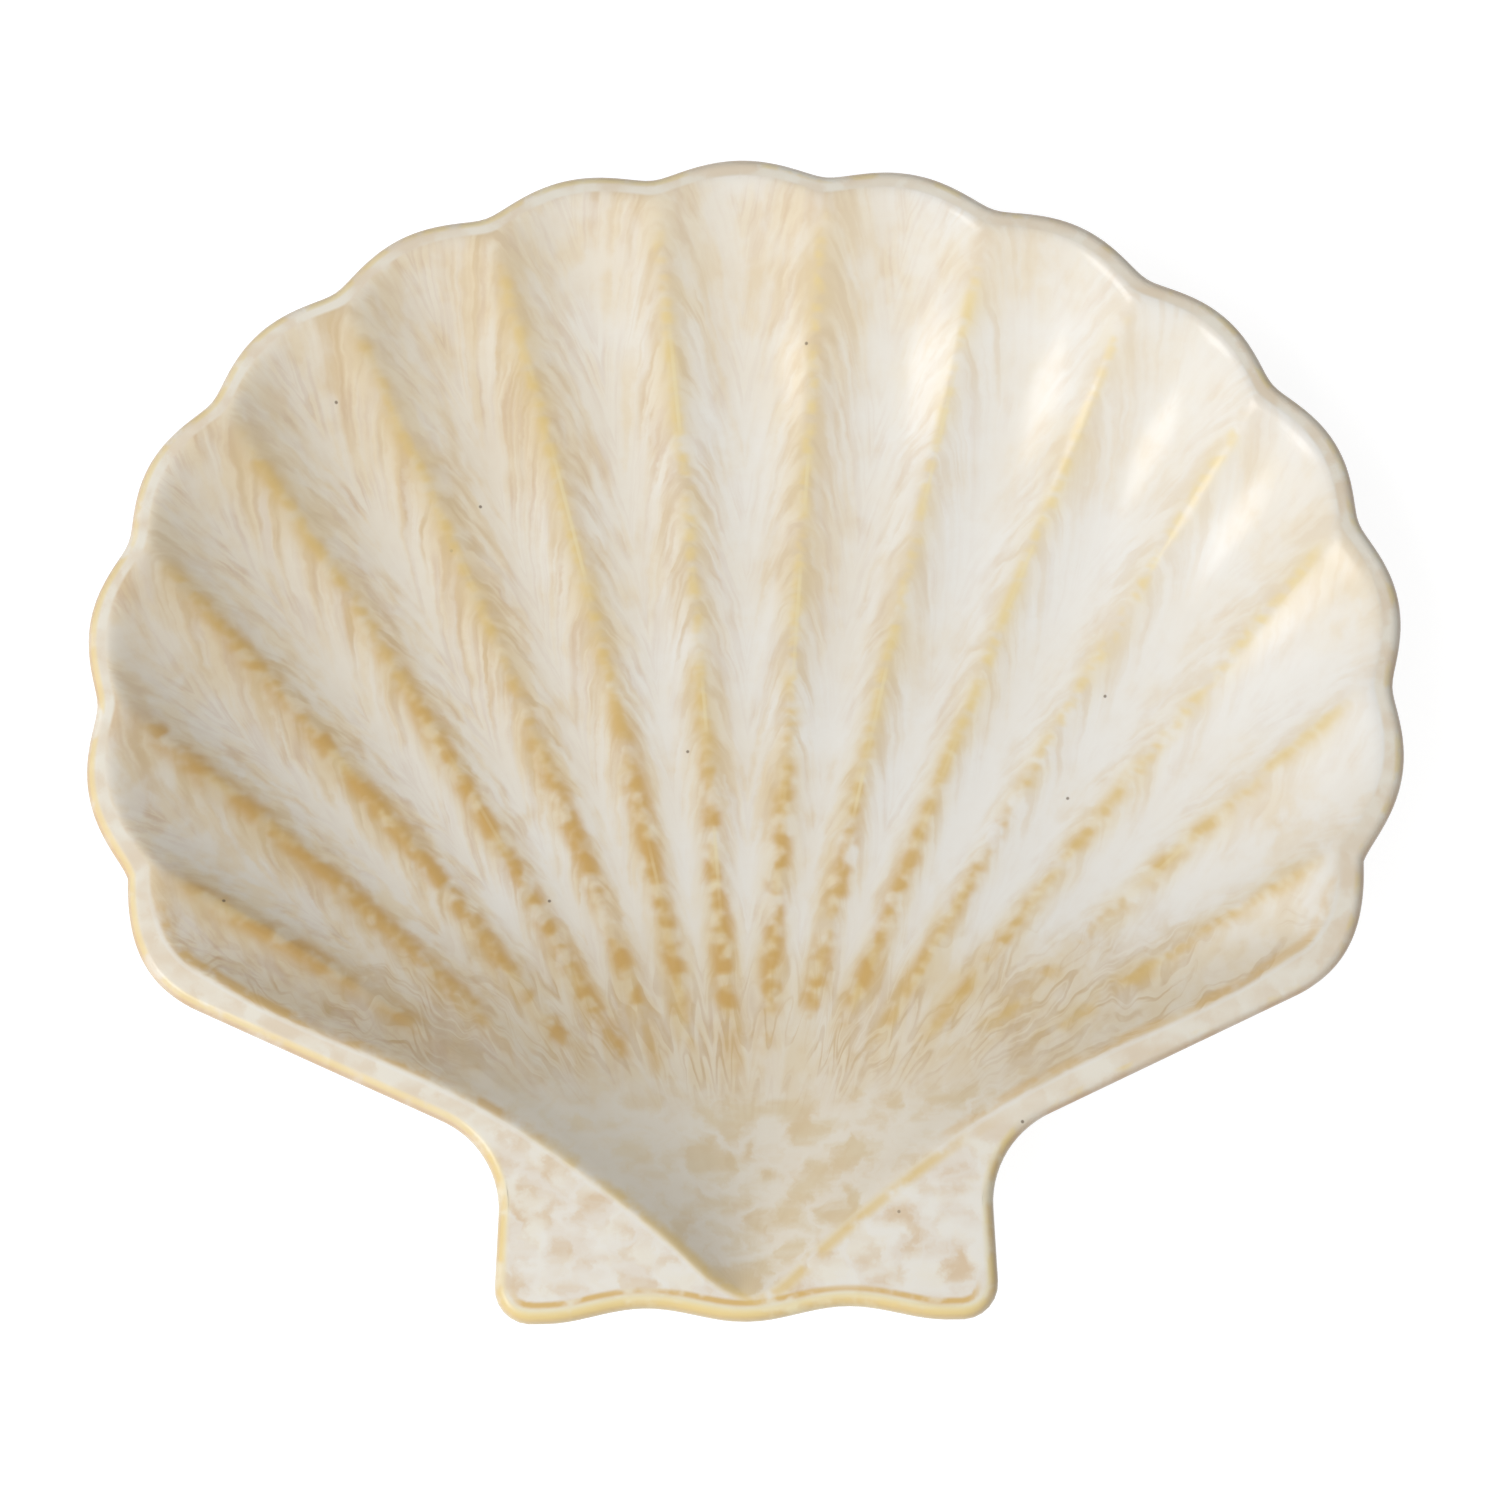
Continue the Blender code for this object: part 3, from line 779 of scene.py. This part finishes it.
def inside_colour(paint, at):
    """The bowl: a white and cream ground, tan next to the ribs, soft barbs between them, amber on them,
    with painted light and shade on the flanks of the left ribs, painted light on the left of the hinge
    floor and a painted highlight on the middle rib crests.
    """
    turns = paint.noise(at.x * 0.08, at.y * 0.02, 3.0) * 2.4 + at.column * 2.0
    fold = paint.math("SINE", turns * (2 * pi))
    flame = (at.y + fold * 6.5 + at.shiver * 2.0) * 0.11
    flame = paint.noise(flame, at.x * 0.05, 5.0, detail=3.0)
    in_flames = paint.ramp(at.y + at.shiver * 2.0, 106.0, 80.0)
    in_clouds = paint.ramp(at.y + at.shiver * 3.0, 66.0, 46.0)
    wander = at.share + (paint.noise(at.x * 0.09, at.y * 0.09, 11.0, detail=3.0) - 0.5) * 0.9
    # warmer in clouds, towards the left, near the crest and on the hinge floor; the leftward part is partly
    # painted shade
    warmth_and_shade = at.cloud + at.left * 0.36 + paint.ramp(at.inward, 60.0, 5.0) * 0.10 + in_flames * 0.20
    warmth_and_shade = paint.ramp(warmth_and_shade, 0.45, 0.90)
    # tan marks stronger towards the left: partly the glaze's own, partly painted shade on the left and
    # painted sheen on the right
    richness_and_shade = at.left * 0.65 + 0.35
    rungs = (at.ladder - 0.5) * 1.1 * paint.ramp(at.share, 0.8, 0.3)
    tan = paint.ramp(at.smudge + rungs + (0.5 - wander) * 0.18 + (at.cloud - 0.5) * 0.4, 0.38, 0.70)
    tan = tan + in_flames * (paint.ramp(flame, 0.42, 0.60) * 1.4 - tan)
    tan = tan + in_clouds * (paint.ramp(at.blob, 0.36, 0.66) * 1.4 - tan)
    bars = paint.ramp(at.ladder, 0.46, 0.62) * paint.ramp(at.share, 0.8, 0.2)
    bars = bars * paint.ramp(at.region, 0.35, 0.55) * (1.0 - in_flames) * at.barred
    veil = at.drift + (wander - 0.5) * (0.10 + paint.ramp(at.inward, 20.0, 55.0) * 0.15)
    veil = paint.ramp(veil, 0.41, 0.63) * (1.0 - in_flames * 0.5)
    veil = veil + in_clouds * (paint.ramp(at.vein, 0.16, 0.0) * 0.9 - veil)
    fine = paint.ramp(at.hair, 0.42, 0.68) * paint.ramp(at.region, 0.65, 0.40) * (at.left * 0.8 + 0.2)
    fine = fine * (1.0 - in_clouds)
    grain = paint.ramp(at.mottle, 0.40, 0.70) * (1.0 - at.share * 0.4)
    # painted light and shade on the left ribs near the rim: lighter on each rib's shaded flank and darker
    # on its lit flank, against the relief's own shading
    counter_shade_near_ribs = paint.ramp(at.share, 1.0, 0.4) * at.left * paint.ramp(at.inward, 70.0, 25.0)
    shaded_flank_share = paint.ramp(at.across, -4.0, 4.0)

    colour = paint.mix(warmth_and_shade, WHITE, CREAM)
    colour = paint.mix(warmth_and_shade * 0.35, colour, ROSE)
    colour = paint.mix((in_flames + in_clouds) * 0.3, colour, OAT)
    colour = paint.mix(tan * richness_and_shade * 0.65, colour, paint.mix(at.patch, TAN, PEACH))
    colour = paint.mix(grain * richness_and_shade * 0.22, colour, PEACH)
    colour = paint.mix(bars * (at.left * 0.45 + 0.06), colour, BARK)
    tongues = in_flames * (1.0 - in_clouds) * paint.ramp(flame, 0.46, 0.62)
    colour = paint.mix(tongues * 0.5, colour, BARK)
    colour = paint.mix(fine * 0.45, colour, PINK)
    # painted light on the shaded flanks, then painted shade on the lit flanks
    colour = paint.mix(counter_shade_near_ribs * shaded_flank_share * 0.35, colour, CREAM)
    colour = paint.mix(counter_shade_near_ribs * (1.0 - shaded_flank_share) * 0.20, colour, TAN)
    # painted light: cream over the left side of the hinge floor, where the steep wall falls in shade
    colour = paint.mix(in_clouds * paint.ramp(at.x, 5.0, -35.0) * 0.6, colour, CREAM)
    colour = paint.mix(veil * (at.inner * 0.2 + 0.5 - at.left * 0.1), colour, WHITE)
    colour = paint.mix(at.stripe * richness_and_shade * 0.42, colour, TAN)
    colour = paint.mix(at.halo * (at.left * 0.15 + 0.25), colour, paint.mix(at.left, YELLOW, TAN))
    colour = paint.mix(at.line * 0.35, colour, YELLOW)
    colour = paint.mix(at.bead * (at.depth * 0.5 + 0.4), colour, paint.mix(at.depth, YELLOW, OCHRE))
    # the painted highlight along the middle rib crests
    return paint.mix(at.ridge * 0.5, colour, STRAW)


def rim_colour(paint, at, colour):
    """The lip, the crest and the ears: mottled cream, with broken amber lines along the edges and a painted
    highlight along the lower crest.
    """
    broken = paint.noise(at.x * 0.10, at.y * 0.10, 15.0, detail=3.0)
    ear = paint.ramp(at.y, 46.0, 32.0)
    mottling = paint.ramp(at.blob, 0.34, 0.68) * (ear * 0.35 + 0.5)
    top = paint.mix(mottling, paint.mix(0.5, WHITE, CREAM), PEACH)
    top = paint.mix(ear * paint.ramp(at.vein, 0.14, 0.0) * 0.6, top, WHITE)
    hinge = paint.ramp(at.y, 4.5, 0.5) * paint.ramp(abs(at.x), 60.0, 54.0)
    gaps = paint.ramp(broken, 0.36, 0.52)
    band = paint.ramp(at.lip, 3.6, 2.0) * ear * 0.6 + hinge * paint.ramp(at.lip, 5.0, 4.4) * 0.4
    upper_line = paint.ramp(abs(at.lip - 4.2), 1.3, 0.2) * hinge * gaps
    lower_line = paint.ramp(abs(at.lip - 1.0), 1.3, 0.2) * gaps * paint.ramp(ear + at.left * 0.5, 0.2, 0.7)
    top = paint.mix(band, top, STRAW)
    top = paint.mix(upper_line * 0.85, top, AMBER)
    top = paint.mix(lower_line * 0.5, top, AMBER)
    # the outer edge turns brown: partly the glaze breaking over it, partly painted shade where the rounded
    # edge turns down, away from the lamps
    edge = paint.ramp(at.lip, 1.5, 0.0) * (0.70 - ear * 0.40) * paint.ramp(broken, 0.32, 0.60, 0.45, 1.0)
    top = paint.mix(edge, top, UMBER_AND_EDGE_SHADE)
    shoulder = paint.ramp(at.y, 112.0, 92.0)
    side_line = paint.ramp(abs(at.lip - 1.6), 1.2, 0.3) * paint.ramp(broken + at.left * 0.12, 0.48, 0.62)
    top = paint.mix(side_line * 0.5, top, YELLOW)
    centre = paint.ramp(at.x, 6.0, -6.0, -1.4, 1.6)
    ear_line = paint.ramp(abs(at.inward - centre), 2.6, 0.2) * ear * paint.ramp(broken, 0.34, 0.54)
    colour = paint.mix(paint.ramp(at.inward, 0.3, -0.7), colour, top)
    inner_line = paint.ramp(abs(at.inward - 1.8), 2.2, 0.4) * paint.ramp(broken, 0.38, 0.58)
    inner_line = inner_line * shoulder * (1.0 - ear)
    colour = paint.mix(inner_line * (at.left * 0.3 + 0.45), colour, AMBER)
    # painted highlight: a white line along the crest at the shoulders and the hinge
    crest = paint.ramp(abs(at.inward + 0.3), 1.0, 0.2) * shoulder
    colour = paint.mix(crest * 0.4, colour, WHITE)
    return paint.mix(ear_line * 0.7, colour, paint.mix(0.6, AMBER, YELLOW))


def speck_field(paint, at):
    """1 inside a speck: the squares of a grid are drawn by lot, and so are the places inside them."""
    cell_x = paint.math("FLOOR", at.x / SPECK_SPACING)
    cell_y = paint.math("FLOOR", at.y / SPECK_SPACING)
    along, aside, lot = paint.random(cell_x, cell_y)
    off_x = at.x - (cell_x + along * 0.8 + 0.1) * SPECK_SPACING
    off_y = at.y - (cell_y + aside * 0.8 + 0.1) * SPECK_SPACING
    off = paint.math("SQRT", off_x * off_x + off_y * off_y)
    return paint.ramp(off, SPECK_RADIUS, SPECK_RADIUS - 0.3) * paint.ramp(lot, 0.94, 0.96)


def glaze_material():
    """Off-white reactive glaze: it breaks amber over the ribs and runs off them in barbs."""
    paint = Paint("reactive_glaze")
    at = surface_fields(paint)
    barb_fields(paint, at)
    amber_fields(paint, at)
    colour = rim_colour(paint, at, inside_colour(paint, at))
    plain = paint.mix(paint.ramp(at.cloud, 0.40, 0.65), WHITE, CREAM)
    plain = paint.mix(paint.ramp(at.patch, 0.50, 0.72) * 0.5, plain, PEACH)
    colour = paint.mix(at.under, colour, plain)
    colour = paint.mix(speck_field(paint, at) * 0.75, colour, SPECK)
    paint.put(paint.shader.inputs["Base Color"], colour)
    ripple = paint.noise(at.x * 0.12, at.y * 0.12, at.z * 0.12, detail=3.0)
    bump = paint.node("ShaderNodeBump", {"Height": ripple, "Strength": 1.0, "Distance": 0.00006})
    paint.put(paint.shader.inputs["Normal"], bump.outputs[0])
    paint.put(paint.shader.inputs["Roughness"], paint.ramp(at.mottle, 0.3, 0.7, 0.15, 0.21))
    paint.shader.inputs["IOR"].default_value = 1.52
    return paint.material


def clay_material():
    """Bare fired clay where the foot was wiped clean."""
    paint = Paint("bare_clay")
    x, y, z = paint.place()
    grain = paint.noise(x * 1.4, y * 1.4, z * 1.4, detail=4.0, roughness=0.7)
    tone = paint.noise(x * 0.05, y * 0.05, z * 0.05)
    light = paint.mix(paint.ramp(tone, 0.35, 0.65), CLAY, PALE_CLAY)
    colour = paint.mix(paint.ramp(grain, 0.58, 0.72) * 0.5, light, GRIT)
    paint.put(paint.shader.inputs["Base Color"], colour)
    paint.shader.inputs["Roughness"].default_value = 0.85
    bump = paint.node("ShaderNodeBump", {"Height": grain, "Strength": 0.35, "Distance": 0.0003})
    paint.put(paint.shader.inputs["Normal"], bump.outputs[0])
    return paint.material


# The studio


def add_floor():
    """A pale floor that the camera and the reflections see as white, with the object's shadow on it."""
    far = FLOOR_HALF_SIZE
    mesh = bpy.data.meshes.new("floor")
    mesh.from_pydata([(-far, -far, 0), (far, -far, 0), (far, far, 0), (-far, far, 0)], [], [(0, 1, 2, 3)])
    floor = bpy.data.objects.new("floor", mesh)
    bpy.context.scene.collection.objects.link(floor)
    material = bpy.data.materials.new("pale_floor")
    material.use_nodes = True
    tree = material.node_tree
    tree.nodes.clear()
    output = tree.nodes.new("ShaderNodeOutputMaterial")
    diffuse = tree.nodes.new("ShaderNodeBsdfDiffuse")
    diffuse.inputs["Color"].default_value = (FLOOR_TONE, FLOOR_TONE, FLOOR_TONE, 1.0)
    glow = tree.nodes.new("ShaderNodeEmission")
    path = tree.nodes.new("ShaderNodeLightPath")
    seen = seen_directly(tree, path)
    strength = tree.nodes.new("ShaderNodeMath")
    strength.operation = "MULTIPLY"
    strength.inputs[1].default_value = FLOOR_GLOW
    tree.links.new(seen, strength.inputs[0])
    tree.links.new(strength.outputs[0], glow.inputs["Strength"])
    both = tree.nodes.new("ShaderNodeAddShader")
    tree.links.new(diffuse.outputs[0], both.inputs[0])
    tree.links.new(glow.outputs[0], both.inputs[1])
    tree.links.new(both.outputs[0], output.inputs["Surface"])
    mesh.materials.append(material)


def seen_directly(tree, path):
    """1 on rays from the camera, off glossy surfaces and through clear ones, and 0 on all others."""
    total = path.outputs["Is Camera Ray"]
    for kind in ("Is Glossy Ray", "Is Transmission Ray"):
        add = tree.nodes.new("ShaderNodeMath")
        add.operation = "ADD"
        add.use_clamp = True
        tree.links.new(total, add.inputs[0])
        tree.links.new(path.outputs[kind], add.inputs[1])
        total = add.outputs[0]
    return total


def add_world():
    world = bpy.data.worlds.new("studio")
    bpy.context.scene.world = world
    world.use_nodes = True
    tree = world.node_tree
    background = tree.nodes["Background"]
    background.inputs["Color"].default_value = (1.0, 1.0, 1.0, 1.0)
    path = tree.nodes.new("ShaderNodeLightPath")
    level = tree.nodes.new("ShaderNodeMapRange")
    level.inputs["To Min"].default_value = WORLD_LEVEL
    level.inputs["To Max"].default_value = 1.0
    tree.links.new(seen_directly(tree, path), level.inputs["Value"])
    tree.links.new(level.outputs[0], background.inputs["Strength"])


def add_lamp(name, place, size, power, mirrored):
    """A flat soft lamp that faces the dish: it lights the dish, or it is only mirrored by the glaze."""
    light = bpy.data.lights.new(name, "AREA")
    light.shape = "RECTANGLE"
    light.size, light.size_y = size
    light.energy = power
    lamp = bpy.data.objects.new(name, light)
    lamp.visible_glossy, lamp.visible_diffuse = mirrored, not mirrored
    lamp.location = place
    lamp.rotation_euler = Vector(place).to_track_quat("Z", "Y").to_euler()
    bpy.context.scene.collection.objects.link(lamp)


def add_camera():
    """The camera of the fit: its distance and the pixels per millimetre there give the lens."""
    back = Vector((sin(CAMERA_SWAY), -sin(CAMERA_TILT), cos(CAMERA_TILT) * cos(CAMERA_SWAY))).normalized()
    right = Vector((0, 1, 0)).cross(back).normalized()
    up = back.cross(right)
    right, up = (
        right * cos(CAMERA_ROLL) - up * sin(CAMERA_ROLL),
        right * sin(CAMERA_ROLL) + up * cos(CAMERA_ROLL),
    )
    target = Vector((0, 0, RIM_HEIGHT - TARGET_BELOW_RIM))
    per_metre = PIXELS_PER_MM * 1000
    aim = right * (IMAGE_SIDE / 2 - TARGET_PIXEL[0]) / per_metre
    aim -= up * (IMAGE_SIDE / 2 - TARGET_PIXEL[1]) / per_metre
    data = bpy.data.cameras.new("camera")
    data.sensor_width = 36.0
    data.lens = data.sensor_width * CAMERA_DISTANCE * per_metre / IMAGE_SIDE
    camera = bpy.data.objects.new("camera", data)
    turn = Matrix((right, up, back)).transposed().to_4x4()
    camera.matrix_world = Matrix.Translation(target + aim + back * CAMERA_DISTANCE) @ turn
    bpy.context.scene.collection.objects.link(camera)
    bpy.context.scene.camera = camera


def main():
    for obj in list(bpy.data.objects):
        bpy.data.objects.remove(obj, do_unlink=True)
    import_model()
    platter = build_platter(glaze_material(), clay_material())
    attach(platter, "root")
    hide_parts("platter")
    add_floor()
    add_world()
    add_lamp("key", KEY_PLACE, KEY_SIZE, KEY_POWER, False)
    add_lamp("glint", GLINT_PLACE, GLINT_SIZE, GLINT_POWER, True)
    add_lamp("front", FRONT_PLACE, FRONT_SIZE, FRONT_POWER, False)
    add_camera()
    bpy.context.scene.view_settings.view_transform = "Standard"


main()
